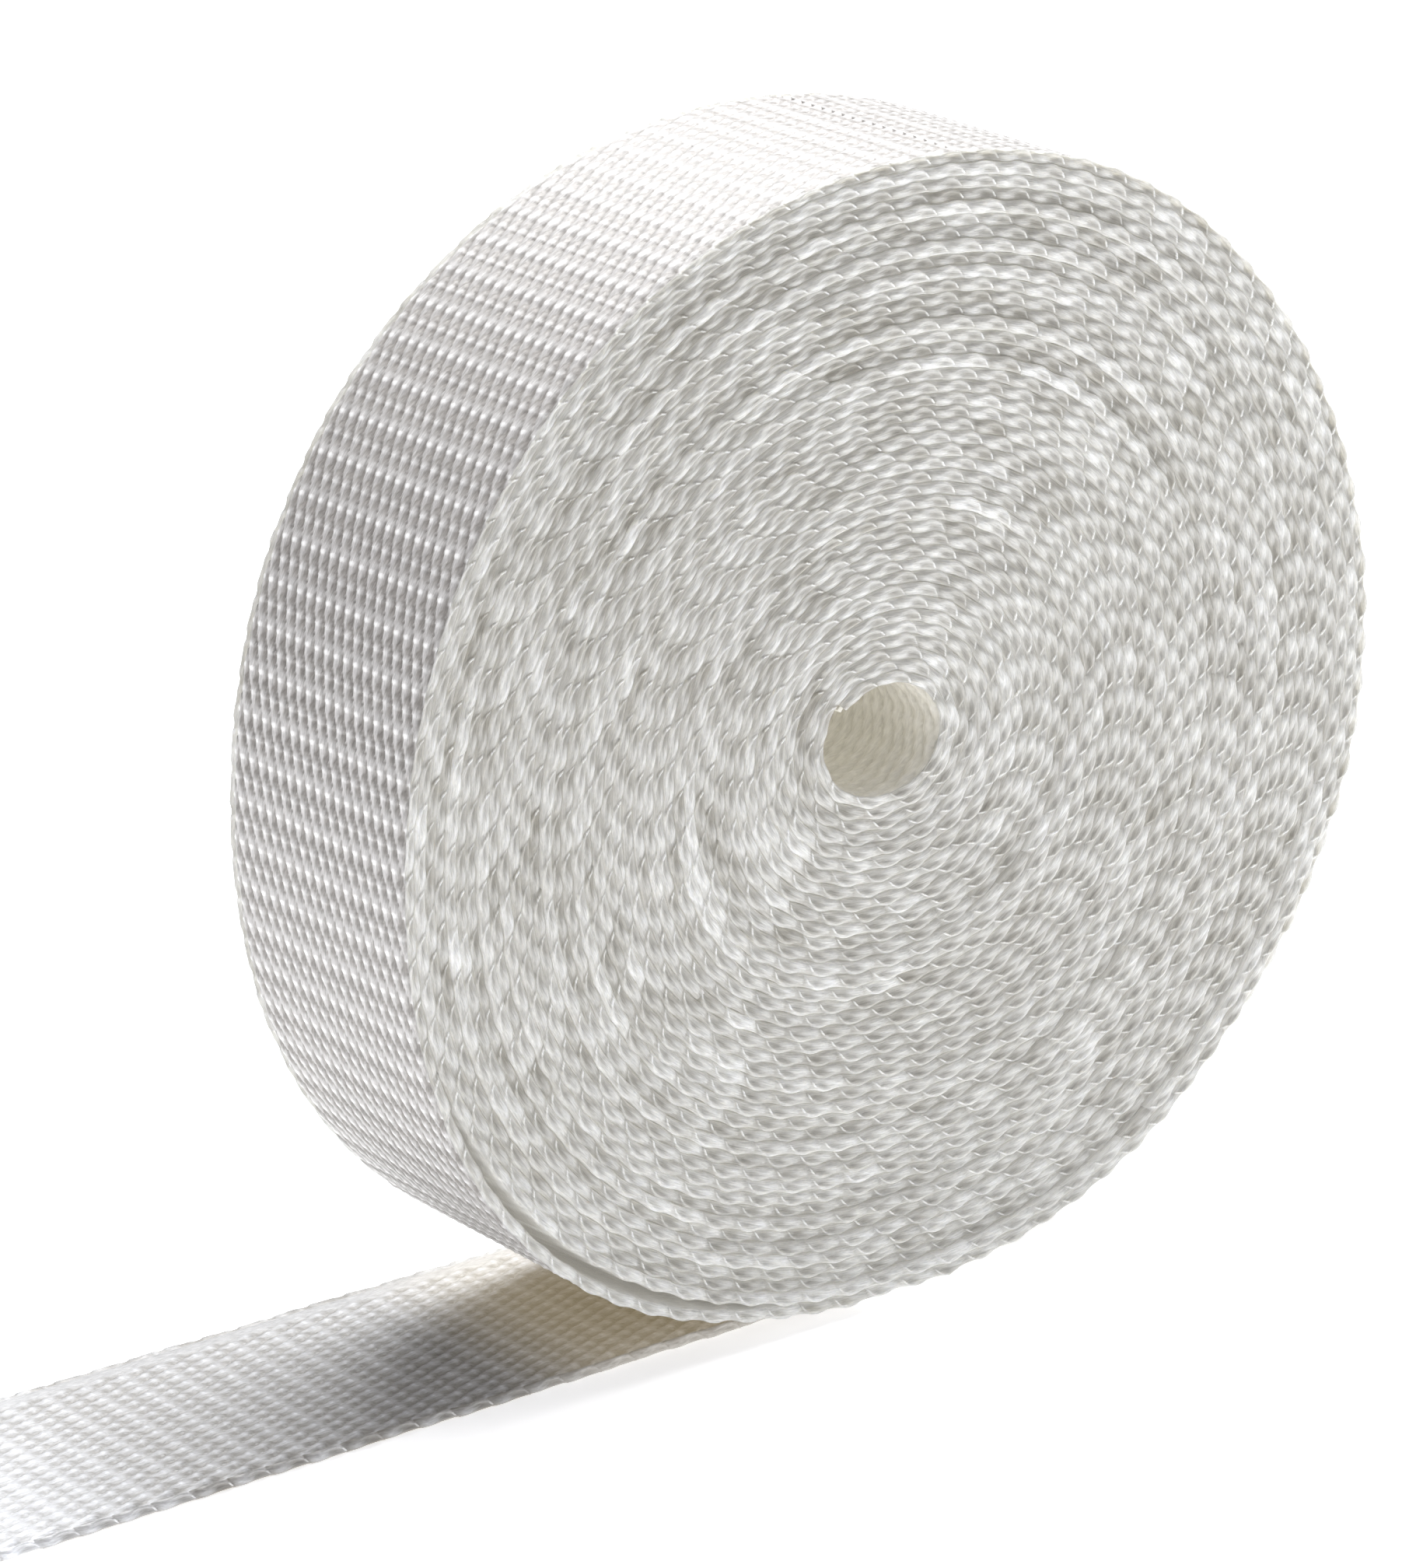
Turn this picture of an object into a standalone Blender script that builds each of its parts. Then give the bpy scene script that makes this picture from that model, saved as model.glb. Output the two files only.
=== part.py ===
"""A roll of nylon webbing that stands on its edge turn, with its loose end laid out flat.

Metres, +Z up. The roll's axis runs along Y, its open face looks along -Y, and the loose end
runs out to -X. Sizes below are in millimetres.
"""
import math
from collections import namedtuple

import bmesh
import bpy

MM = 0.001

# The strip
STRIP_WIDTH = 25.0
STRIP_THICKNESS = 1.1
GAP = 0.3

# The roll: height of its axis, and the outside radius by angle. Angles start straight below
# the axis and climb the right side. The strip is wound inward, so it ends a thickness lower.
AXIS_HEIGHT = 51.0
OutlineRow = namedtuple("OutlineRow", "angle radius")
OUTLINE = [OutlineRow(*row) for row in (
    (0, 51.0),
    (15, 51.5),
    (30, 52.4),
    (60, 53.0),
    (90, 53.5),
    (120, 52.8),
    (150, 52.4),
    (180, 51.6),
    (210, 51.9),
    (240, 52.1),
    (270, 52.1),
    (300, 53.4),
    (315, 53.4),
    (330, 52.3),
    (345, 50.7),
    (360, 49.9),
)]
FLAT_HALF = 6.0
FLAT_LIMIT = 20.0
COLUMNS = 96

# The centre hole is an oval a little off the axis
HOLE_HALF_WIDTH = 6.1
HOLE_HALF_HEIGHT = 5.0
HOLE_X = -2.2
HOLE_Z = 52.7

# Groups of turns that stand proud of the face or lie back from it. Depth is a share of the
# way from the hole to the outside, and the steps are set back from the flush face.
Band = namedtuple("Band", "depth at_top at_bottom")
BANDS = [Band(*row) for row in (
    (0.00, -0.5, -0.4),
    (0.07, 0.3, 0.2),
    (0.14, -0.4, 0.0),
    (0.28, 0.4, 0.2),
    (0.36, -0.3, 0.0),
    (0.62, -0.4, 0.3),
    (0.71, 0.5, -0.4),
    (0.79, -0.4, 0.3),
    (0.86, 0.5, -0.4),
    (0.935, -0.4, 0.3),
)]
STEP_RAMP = 0.15

# The outermost turn starts set back from the rest and creeps forward as it climbs
SET_BACK = 3.7
SET_BACK_ENDS = 75.0

# The outermost turn stands off the next one along a thin crescent at the lower left
CRESCENT_START = 289.0
CRESCENT_END = 346.0
CRESCENT_WIDTH = 1.6
CRESCENT_STEPS = 16

# The loose end
SPLIT_ANGLE = -4.0
LOOSE_END_GAP = 0.55
LOOSE_END_X = -100.0
LOOSE_END_TURN = math.radians(-0.5)


def clear_scene():
    for item in list(bpy.data.objects):
        bpy.data.objects.remove(item, do_unlink=True)


def make_material(name, colour, roughness):
    material = bpy.data.materials.new(name)
    material.use_nodes = True
    shader = material.node_tree.nodes["Principled BSDF"]
    shader.inputs["Base Color"].default_value = (*colour, 1.0)
    shader.inputs["Roughness"].default_value = roughness
    shader.inputs["Metallic"].default_value = 0.0
    return material


def ease(share):
    share = min(max(share, 0.0), 1.0)
    return share * share * (3.0 - 2.0 * share)


def slope(row):
    low = max(row - 1, 0)
    high = min(row + 1, len(OUTLINE) - 1)
    return (OUTLINE[high].radius - OUTLINE[low].radius) / (OUTLINE[high].angle - OUTLINE[low].angle)


def outline_radius(angle):
    """Outside radius at an angle in degrees, on a smooth curve through the outline's rows."""
    angle = min(max(angle, 0.0), 360.0)
    row = 0
    while row < len(OUTLINE) - 2 and angle > OUTLINE[row + 1].angle:
        row += 1
    start = OUTLINE[row]
    end = OUTLINE[row + 1]
    span = end.angle - start.angle
    share = (angle - start.angle) / span
    ease_in = share * (1.0 - share) ** 2 * span * slope(row)
    ease_out = share ** 2 * (1.0 - share) * span * slope(row + 1)
    return start.radius + (end.radius - start.radius) * ease(share) + ease_in - ease_out


def outside_radius(angle):
    """The outline, flattened where it stands on the floor and where it lies on the strip."""
    radius = outline_radius(angle)
    if FLAT_LIMIT < angle < 360.0 - FLAT_LIMIT:
        return radius
    turn = math.radians(angle)
    floor = 0.0 if angle < 180.0 else STRIP_THICKNESS + GAP
    height = AXIS_HEIGHT - radius * math.cos(turn)
    if height < floor or abs(radius * math.sin(turn)) < FLAT_HALF:
        radius = (AXIS_HEIGHT - floor) / math.cos(turn)
    return radius


def set_back(angle):
    return SET_BACK * (1.0 - ease(angle / SET_BACK_ENDS))


def point_at(angle, radius, y):
    turn = math.radians(angle)
    return (radius * math.sin(turn) * MM, y * MM, (AXIS_HEIGHT - radius * math.cos(turn)) * MM)


def hole_point(angle):
    turn = math.radians(angle)
    return HOLE_X + HOLE_HALF_WIDTH * math.sin(turn), HOLE_Z - HOLE_HALF_HEIGHT * math.cos(turn)


def inner_point(angle, depth, y):
    """A point between the hole's edge and the closed curve just inside the outermost turn."""
    share = (angle - SPLIT_ANGLE) / 360.0
    rim = outside_radius(angle) - STRIP_THICKNESS * (1.0 - share)
    rim_x, _, rim_z = point_at(angle, rim, y)
    hole_x, hole_z = hole_point(angle)
    x = hole_x * MM + (rim_x - hole_x * MM) * depth
    z = hole_z * MM + (rim_z - hole_z * MM) * depth
    return (x, y * MM, z)


def blend_step(angle, band):
    top_share = (1.0 - math.cos(math.radians(angle))) / 2.0
    return band.at_bottom + (band.at_top - band.at_bottom) * top_share


def face_column(column):
    """Points of the open face along one radius, from the hole to the outside."""
    spacing = 360.0 / COLUMNS
    angle = SPLIT_ANGLE + column * spacing
    front = -STRIP_WIDTH / 2.0
    points = []
    ramp = STEP_RAMP / AXIS_HEIGHT
    for row, band in enumerate(BANDS):
        step = blend_step(angle, band)
        start = band.depth + ramp if row else band.depth
        points.append(inner_point(angle, start, front + step))
        if row < len(BANDS) - 1:
            points.append(inner_point(angle, BANDS[row + 1].depth - ramp, front + step))
    lap_angle = angle
    if column == COLUMNS - 1:
        lap_angle = SPLIT_ANGLE + 360.0 - math.degrees(GAP / AXIS_HEIGHT)
    outside = outside_radius(lap_angle)
    lap = outside - STRIP_THICKNESS
    points.append(point_at(lap_angle, lap - STEP_RAMP, front + step))
    points.append(point_at(lap_angle, lap + STEP_RAMP, front + set_back(angle)))
    points.append(point_at(lap_angle, outside, front + set_back(angle)))
    return points


def make_object(name, mesh_builder, material):
    mesh = bpy.data.meshes.new(name)
    bmesh.ops.recalc_face_normals(mesh_builder, faces=mesh_builder.faces)
    mesh_builder.to_mesh(mesh)
    mesh_builder.free()
    mesh.materials.append(material)
    item = bpy.data.objects.new(name, mesh)
    bpy.context.collection.objects.link(item)
    return item


def build_roll(material):
    builder = bmesh.new()
    loops = []
    for column in range(COLUMNS):
        front = face_column(column)
        back = [(x, y + STRIP_WIDTH * MM, z) for x, y, z in reversed(front)]
        loops.append([builder.verts.new(point) for point in front + back])
    size = len(loops[0])
    for column, loop in enumerate(loops):
        following = loops[(column + 1) % COLUMNS]
        for row in range(size):
            after = (row + 1) % size
            builder.faces.new((loop[row], loop[after], following[after], following[row]))
    bmesh.ops.triangulate(builder, faces=builder.faces)
    roll = make_object("wound_roll", builder, material)
    roll.data.shade_smooth()
    roll.data.set_sharp_from_angle(angle=math.radians(30.0))
    cut = roll.modifiers.new("crescent", "BOOLEAN")
    cut.operation = "DIFFERENCE"
    cut.solver = "EXACT"
    cut.object = build_crescent(material)
    return roll


def build_crescent(material):
    """Cutter for the thin space between the outermost turn and the next one."""
    outer = []
    inner = []
    for step in range(CRESCENT_STEPS + 1):
        share = step / CRESCENT_STEPS
        angle = CRESCENT_START + (CRESCENT_END - CRESCENT_START) * share
        rim = outside_radius(angle) - STRIP_THICKNESS
        outer.append((angle, rim))
        if 0 < step < CRESCENT_STEPS:
            inner.append((angle, rim - CRESCENT_WIDTH * math.sin(math.pi * share)))
    builder = bmesh.new()
    section = []
    for angle, radius in outer + inner[::-1]:
        section.append(builder.verts.new(point_at(angle, radius, -STRIP_WIDTH)))
    face = builder.faces.new(section)
    pushed = bmesh.ops.extrude_face_region(builder, geom=[face])
    moved = [part for part in pushed["geom"] if isinstance(part, bmesh.types.BMVert)]
    bmesh.ops.translate(builder, verts=moved, vec=(0.0, 2.0 * STRIP_WIDTH * MM, 0.0))
    cutter = make_object("crescent_cutter", builder, material)
    cutter.hide_render = True
    cutter.display_type = "WIRE"
    return cutter


def build_loose_end(material):
    """The strip on the floor, which meets the outermost turn where it starts to climb."""
    near_x = AXIS_HEIGHT * math.tan(math.radians(SPLIT_ANGLE)) - LOOSE_END_GAP
    builder = bmesh.new()
    bmesh.ops.create_cube(builder, size=1.0)
    for vert in builder.verts:
        along = LOOSE_END_X if vert.co.x < 0.0 else near_x
        across = SET_BACK + along * math.tan(LOOSE_END_TURN) + vert.co.y * STRIP_WIDTH
        height = STRIP_THICKNESS if vert.co.z > 0.0 else 0.0
        vert.co = (along * MM, across * MM, height * MM)
    return make_object("loose_end", builder, material)


def centre_over_floor(items):
    """Moves the pieces so that the origin is under the middle of the whole part."""
    points = [item.matrix_world @ vert.co for item in items for vert in item.data.vertices]
    shift_x = -(min(p.x for p in points) + max(p.x for p in points)) / 2.0
    shift_y = -(min(p.y for p in points) + max(p.y for p in points)) / 2.0
    for item in bpy.data.objects:
        item.location.x += shift_x
        item.location.y += shift_y


def main():
    clear_scene()
    wound = make_material("webbing_wound", (0.84, 0.84, 0.82), 0.6)
    loose = make_material("webbing_loose", (0.86, 0.87, 0.88), 0.55)
    roll = build_roll(wound)
    strip = build_loose_end(loose)
    centre_over_floor([roll, strip])


main()
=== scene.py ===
import math

import bpy
import numpy as np
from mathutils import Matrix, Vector


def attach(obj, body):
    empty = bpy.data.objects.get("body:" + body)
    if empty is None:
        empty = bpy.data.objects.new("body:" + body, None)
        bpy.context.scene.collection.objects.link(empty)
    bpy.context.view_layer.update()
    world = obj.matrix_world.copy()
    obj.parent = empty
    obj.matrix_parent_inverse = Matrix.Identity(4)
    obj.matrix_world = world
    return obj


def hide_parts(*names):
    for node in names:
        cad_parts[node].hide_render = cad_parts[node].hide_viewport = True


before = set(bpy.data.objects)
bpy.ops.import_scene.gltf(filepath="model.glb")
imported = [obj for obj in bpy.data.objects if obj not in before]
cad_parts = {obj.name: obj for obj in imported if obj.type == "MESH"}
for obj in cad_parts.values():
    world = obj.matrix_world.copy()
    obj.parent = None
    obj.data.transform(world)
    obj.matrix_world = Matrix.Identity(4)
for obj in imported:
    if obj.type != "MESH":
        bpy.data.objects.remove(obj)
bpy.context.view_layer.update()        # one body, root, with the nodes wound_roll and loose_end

# Roll of white nylon webbing: a coreless roll on its edge, its loose end out to the left.
# Lengths below are millimetres in the roll's own frame, axis at x 0, and toRow() places them.
rowShift = (23.25, -2.036, 0.0)
millimetre = 0.001

print("webbing: camera, floor and lights")

# Camera
camera = {
    "azimuth": -38.0,
    "elevation": 19.71,
    "distance": 594.36,
    "target": (12.40, -2.036, 46.78),
    "focalPixels": 8944.2,
    "imageHeight": 2016,
    "filmSide": 36.0,
    "clip": (0.01, 50.0),
}


def directionOf(azimuth, elevation):
    side = math.radians(azimuth)
    lift = math.radians(elevation)
    return np.array((
        math.sin(side) * math.cos(lift),
        -math.cos(side) * math.cos(lift),
        math.sin(lift),
    ))


def aimAt(item, place, target):
    item.location = Vector(place)
    item.rotation_euler = (Vector(place) - Vector(target)).to_track_quat("Z", "Y").to_euler()


def makeCamera():
    lens = bpy.data.cameras.new("camera")
    lens.sensor_width = camera["filmSide"]
    lens.lens = camera["focalPixels"] * camera["filmSide"] / camera["imageHeight"]
    lens.clip_start = camera["clip"][0]
    lens.clip_end = camera["clip"][1]
    item = bpy.data.objects.new("camera", lens)
    bpy.context.collection.objects.link(item)
    target = np.array(camera["target"]) * millimetre
    back = directionOf(camera["azimuth"], camera["elevation"])
    aimAt(item, target + back * camera["distance"] * millimetre, target)
    bpy.context.scene.camera = item


makeCamera()

# Studio
studio = {
    "floorSpan": 6.0,
    "floorRoughness": 0.75,
    "floorColour": (0.92, 0.92, 0.925, 1.0),
    "floorGlow": 0.53,
    "zenith": (0.42, 0.42, 0.45, 1.0),
    "horizon": (0.03, 0.03, 0.03, 1.0),
    "horizonUpTo": 0.25,   # on the ramp from straight down to straight up
    "zenithFrom": 0.9,
    "worldStrength": 1.0,
    "lightsAim": (0.0, 0.0, 0.05),
    "topPlace": (0.45, 0.40, 1.30),
    "topSize": (1.2, 1.4),
    "topPower": 36.0,
    "topColour": (1.0, 1.0, 1.0),
    "frontPlace": (0.35, -1.6, 0.55),
    "frontSize": (1.8, 1.4),
    "frontPower": 4.4,
    "frontColour": (1.0, 0.98, 0.95),
}


def makeFloor():
    span = studio["floorSpan"]
    mesh = bpy.data.meshes.new("floor")
    corners = [(-span, -span, 0.0), (span, -span, 0.0), (span, span, 0.0), (-span, span, 0.0)]
    mesh.from_pydata(corners, [], [(0, 1, 2, 3)])
    item = bpy.data.objects.new("floor", mesh)
    bpy.context.collection.objects.link(item)
    material = bpy.data.materials.new("paleFloor")
    material.use_nodes = True
    shader = material.node_tree.nodes["Principled BSDF"]
    shader.inputs["Base Color"].default_value = studio["floorColour"]
    shader.inputs["Roughness"].default_value = studio["floorRoughness"]
    shader.inputs["Emission Color"].default_value = (1.0, 1.0, 1.0, 1.0)
    shader.inputs["Emission Strength"].default_value = studio["floorGlow"]
    mesh.materials.append(material)


def makeLight(which):
    lamp = bpy.data.lights.new(which + "Softbox", "AREA")
    lamp.shape = "RECTANGLE"
    lamp.size = studio[which + "Size"][0]
    lamp.size_y = studio[which + "Size"][1]
    lamp.energy = studio[which + "Power"]
    lamp.color = studio[which + "Colour"]
    item = bpy.data.objects.new(which + "Softbox", lamp)
    bpy.context.collection.objects.link(item)
    aimAt(item, studio[which + "Place"], studio["lightsAim"])


def makeWorld():
    world = bpy.data.worlds.new("studioWorld")
    world.use_nodes = True
    nodes = world.node_tree.nodes
    link = world.node_tree.links.new
    where = nodes.new("ShaderNodeTexCoord")
    split = nodes.new("ShaderNodeSeparateXYZ")
    link(where.outputs["Generated"], split.inputs["Vector"])
    lift = nodes.new("ShaderNodeValToRGB")
    lift.color_ramp.elements[0].position = studio["horizonUpTo"]
    lift.color_ramp.elements[0].color = studio["horizon"]
    lift.color_ramp.elements[1].position = studio["zenithFrom"]
    lift.color_ramp.elements[1].color = studio["zenith"]
    link(split.outputs["Z"], lift.inputs["Fac"])
    background = nodes["Background"]
    link(lift.outputs["Color"], background.inputs["Color"])
    background.inputs["Strength"].default_value = studio["worldStrength"]
    bpy.context.scene.world = world
    bpy.context.scene.view_settings.view_transform = "Standard"


makeFloor()
makeWorld()
makeLight("top")
makeLight("front")

print("webbing: shape of the turns")

# The strip
strip = {
    "width": 25.0,
    "thickness": 1.1,
    "repeat": 3.75,        # one weave repeat along the strip
    "columns": 18,         # columns of floats across
    "columnPitch": 1.36,
}

# The roll. Angles start straight below the axis and climb the right side
roll = {
    "axisHeight": 51.0,
    "angles": (0, 15, 30, 60, 90, 120, 150, 180, 210, 240, 270, 300, 315, 330, 345, 360),
    "radii": (51.0, 51.5, 52.4, 53.0, 53.5, 52.8, 52.4, 51.6, 51.9, 52.1, 52.1, 53.4, 53.4, 52.3,
              50.7, 49.9),
    "flatHalf": 6.0,
    "flatLimit": 20.0,
    "restGap": 0.03,       # between the outermost turn and the strip that it lies on
    "turns": 42.0,         # guessed, as is the pitch
    "turnPitch": 1.13,
    "lastTurn": 41.64,
    "holeX": -2.2,
    "holeZ": 52.7,
    "holeHalfWidth": 6.1,
    "holeHalfHeight": 5.0,
    "setBack": 3.7,
    "setBackEnds": 75.0,
    "standMost": 50.0,     # where the turns stand out and lie back the most
    "standShare": 0.42,
    "standSwing": 0.22,
    "drifts": ((0.07, 19.3, 0.0), (0.05, 43.1, 1.0)),      # size, pace and start
    "crescentStart": 289.0,
    "crescentEnd": 346.0,
    "crescentWidth": 1.15,
    "crescentFade": 14.0,  # turns inward over which the turns make room for it
    "crescentBend": 1.4,
    "crescentCloses": 0.95,
    "stripStart": -4.0 / 360.0,
    "outsideEnds": 0.992,  # places, in turns, where the woven outside ends
    "coveredTo": 0.99,
}

# How far each turn stands out of the face, by turns counted from the outside
standOut = np.array((
    (-1.0, 0.0), (0.5, -0.1), (1.0, 0.4), (2.0, 0.45), (2.5, 0.1), (3.0, -0.45), (4.0, -0.35),
    (4.5, 0.6), (5.0, 0.4), (5.5, -0.4), (6.0, 0.15), (6.5, -0.55), (7.0, -0.45), (7.5, 0.6),
    (8.0, 0.3), (8.5, -0.4), (9.0, -0.3), (9.5, 0.6), (10.0, 0.15), (11.0, 0.2), (11.5, -0.35),
    (12.0, 0.2), (12.5, -0.6), (13.0, -0.1), (13.5, 0.65), (14.0, 0.2), (14.5, -0.35),
    (15.5, -0.5), (16.5, 0.55), (17.5, 0.0), (19.0, 0.15), (21.0, -0.15), (23.0, 0.1),
    (25.0, -0.1), (27.5, 0.5), (28.5, 0.0), (29.5, -0.5), (31.0, 0.0), (33.0, 0.1),
    (35.5, 0.35), (37.0, 0.3), (38.5, -0.25), (40.5, 0.2), (41.7, 0.6),
))


def ease(share):
    share = np.clip(share, 0.0, 1.0)
    return share * share * (3.0 - 2.0 * share)


def outlineRadius(angle):
    angles = np.array(roll["angles"], float)
    radii = np.array(roll["radii"], float)
    slopes = np.gradient(radii, angles)
    slopes[1:-1] = (radii[2:] - radii[:-2]) / (angles[2:] - angles[:-2])
    angle = np.clip(angle, 0.0, 360.0)
    row = np.clip(np.searchsorted(angles, angle, side="right") - 1, 0, len(angles) - 2)
    span = angles[row + 1] - angles[row]
    share = (angle - angles[row]) / span
    lead = share * (1.0 - share) ** 2 * span * slopes[row]
    trail = share ** 2 * (1.0 - share) * span * slopes[row + 1]
    return radii[row] + (radii[row + 1] - radii[row]) * ease(share) + lead - trail


def outsideRadius(angle):
    # the outline, flattened where it stands on the floor or lies on the strip
    radius = outlineRadius(angle)
    turn = np.radians(angle)
    floor = np.where(angle < 180.0, 0.0, strip["thickness"] + roll["restGap"])
    height = roll["axisHeight"] - radius * np.cos(turn)
    near = (angle < roll["flatLimit"]) | (angle > 360.0 - roll["flatLimit"])
    low = (height < floor) | (np.abs(radius * np.sin(turn)) < roll["flatHalf"])
    cosine = np.where(near, np.cos(turn), 1.0)
    return np.where(near & low, (roll["axisHeight"] - floor) / cosine, radius)


def crescentSwing(angle):
    # none at the two ends of the crescent and all in its middle
    share = (angle - roll["crescentStart"]) / (roll["crescentEnd"] - roll["crescentStart"])
    return np.sin(np.pi * np.clip(share, 0.0, 1.0))


def turnPoint(angle, turn, inward, y):
    # x and z of a point so far inward of a turn's outer side, at an angle
    sweep = np.radians(angle)
    rim = outsideRadius(angle)
    rimX = rim * np.sin(sweep)
    rimZ = roll["axisHeight"] - rim * np.cos(sweep)
    holeX = roll["holeX"] + roll["holeHalfWidth"] * np.sin(sweep)
    holeZ = roll["holeZ"] - roll["holeHalfHeight"] * np.cos(sweep)
    along = angle / 360.0 / roll["turns"]
    depth = turn + inward / roll["turnPitch"]
    keep = (1.0 - depth / roll["turns"] - along) / (1.0 - along)
    # the outermost turn stands off the next, less and less towards the back
    fade = np.clip(1.0 - (depth - 1.0) / roll["crescentFade"], 0.0, 1.0) ** roll["crescentBend"]
    behind = np.clip(y / strip["width"] + 0.5, 0.0, 1.0)
    squeeze = roll["crescentWidth"] * (1.0 - roll["crescentCloses"] * behind) * crescentSwing(angle) * fade
    squeeze = np.where(turn < 1.0, 0.0, squeeze)
    keep = keep - squeeze / np.hypot(rimX - holeX, rimZ - holeZ)
    return holeX + (rimX - holeX) * keep, holeZ + (rimZ - holeZ) * keep


def standAt(place):
    return np.interp(place, standOut[:, 0], standOut[:, 1])


def sideShift(place):
    # how far the strip's edges lie to the back at a place counted in turns from the outside
    setBack = roll["setBack"] * (1.0 - ease(place * 360.0 / roll["setBackEnds"]))
    swing = np.cos(np.radians(place * 360.0 - roll["standMost"]))
    stand = standAt(place) * (roll["standShare"] + roll["standSwing"] * swing)
    drift = sum(size * np.sin(place * pace + start) for size, pace, start in roll["drifts"])
    return setBack - stand - drift * np.clip(place, 0.0, 1.0)


def splitPlace(place):
    turn = np.clip(np.floor(place), 0.0, None)
    return turn, (place - turn) * 360.0


def stripPoint(place, inward, y):
    # place in turns, inward in millimetres from the strip's outer side, y across the roll
    turn, angle = splitPlace(place)
    x, z = turnPoint(angle, turn, inward, y)
    return np.stack((x, y, z), axis=-1)


def toRow(points):
    return (points + np.array(rowShift)) * millimetre


# Length along the strip against its place in turns
measurePlaces = np.linspace(roll["stripStart"], roll["lastTurn"], 30001)
measurePoints = stripPoint(measurePlaces, 0.5, np.zeros_like(measurePlaces))
measureSteps = np.hypot(np.diff(measurePoints[:, 0]), np.diff(measurePoints[:, 2]))
measureLengths = np.concatenate(((0.0,), np.cumsum(measureSteps)))
stripLength = measureLengths[-1]


def placeAt(length):
    return np.interp(length, measureLengths, measurePlaces)


print(f"webbing: {stripLength / 1000.0:.2f} m wound")


# Meshes
def ringFaces(rings, sides):
    ring, side = np.meshgrid(np.arange(rings - 1), np.arange(sides), indexing="ij")
    ring = ring.ravel()
    side = side.ravel()
    after = (side + 1) % sides
    quads = np.stack((
        ring * sides + side, ring * sides + after,
        (ring + 1) * sides + after, (ring + 1) * sides + side,
    ), axis=1)
    marks = np.stack((
        np.stack((side, ring), 1), np.stack((side + 1, ring), 1),
        np.stack((side + 1, ring + 1), 1), np.stack((side, ring + 1), 1),
    ), axis=1).astype(float)
    marks /= (sides, rings - 1)
    return quads, marks


def capMarks(count, foot):
    # the two cut ends take a corner of the maps that nothing else uses
    marks = np.zeros((count, 3, 2)) + (0.0, foot)
    marks[:, 1, 0] = 0.001
    marks[:, 2, 1] = 0.998
    return marks


def makePiece(name, points, quads, tris, layers, values, material, node=None, sharpFrom=None):
    # layers are UV maps with a pair of arrays, for the quads and the triangles
    mesh = bpy.data.meshes.new(name)
    mesh.from_pydata(toRow(points).tolist(), [], quads.tolist() + tris.tolist())
    for layer, (quadMarks, triMarks) in layers.items():
        marks = np.concatenate((quadMarks.reshape(-1, 2), triMarks.reshape(-1, 2)))
        mesh.uv_layers.new(name=layer).data.foreach_set("uv", marks.ravel())
    for value, array in values.items():
        mesh.attributes.new(value, "FLOAT", "POINT").data.foreach_set("value", np.asarray(array, float))
    mesh.materials.append(material)
    mesh.shade_smooth()
    if sharpFrom:
        mesh.set_sharp_from_angle(angle=math.radians(sharpFrom))
    mesh.validate()
    piece = bpy.data.objects.new(name, mesh)
    bpy.context.collection.objects.link(piece)
    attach(piece, "root")
    if node:
        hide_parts(node)
    print(f"webbing: {name}, {len(quads) * 2 + len(tris)} triangles")
    return piece


print("webbing: materials")


# What all the nylon shares
nylon = {
    "ior": 1.53,
    "sheen": 0.1,
    "sheenRoughness": 0.4,
    "seepRadius": (1.0, 0.95, 0.8),
    "seepScale": 0.0007,
    "patchTone": 0.25,
    "bumpStrength": 0.8,
    "lineDetail": 3.0,
    "lineRoughness": 0.6,
    "patchScale": 0.45,
    "patchDetail": 2.0,
}

# Each yarn: its colour where it is proud and its colour under full painted shade, the lines of its
# filaments and a painted glow for light that comes through it and for highlights: some everywhere and more
# where the point attribute says
yarns = {
    "bandYarn": {
        "yarn": (0.97, 0.965, 0.96, 1.0),
        "paintedShadeAndTone": (0.35, 0.325, 0.30, 1.0),
        "roughness": 0.3,
        "lines": 7.0,
        "stretch": 1.1,
        "bump": 0.08,
        "streaks": 1.2,
        "paintedGlowEverywhere": 0.0,
        "paintedGlow": 0.42,
        "paintedGlowColour": (1.0, 1.0, 1.0, 1.0),
        "seep": 0.0,
    },
    "looseYarn": {
        "yarn": (0.93, 0.955, 1.0, 1.0),
        "paintedShadeAndTone": (0.30, 0.29, 0.275, 1.0),
        "roughness": 0.4,
        "lines": 7.0,
        "stretch": 1.1,
        "bump": 0.08,
        "streaks": 1.2,
        "paintedGlowEverywhere": 0.01,
        "paintedGlow": 0.15,
        "paintedGlowColour": (1.0, 0.80, 0.46, 1.0),
        "seep": 0.0,
    },
    "edgeYarn": {
        "yarn": (0.885, 0.895, 0.885, 1.0),
        "paintedShadeAndTone": (0.33, 0.315, 0.275, 1.0),
        "roughness": 0.3,
        "lines": 10.0,
        "stretch": 0.9,
        "bump": 0.09,
        "streaks": 1.1,
        "paintedGlowEverywhere": 0.03,
        "paintedGlow": 0.16,
        "paintedGlowColour": (1.0, 0.96, 0.88, 1.0),
        "seep": 0.5,
    },
    # the hole's lining, with a painted glow everywhere that lifts the hole's shade
    "groundYarn": {
        "yarn": (0.86, 0.84, 0.78, 1.0),
        "paintedShadeAndTone": (0.74, 0.72, 0.64, 1.0),
        "roughness": 0.5,
        "lines": 6.0,
        "stretch": 0.9,
        "bump": 0.05,
        "streaks": 0.6,
        "paintedGlowEverywhere": 0.07,
        "paintedGlow": 0.0,
        "paintedGlowColour": (1.0, 0.95, 0.85, 1.0),
        "seep": 0.0,
    },
}


def addSocket(group, name, kind, way, value=None):
    socket = group.interface.new_socket(name=name, in_out=way, socket_type=kind)
    if value is not None:
        socket.default_value = value


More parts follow.
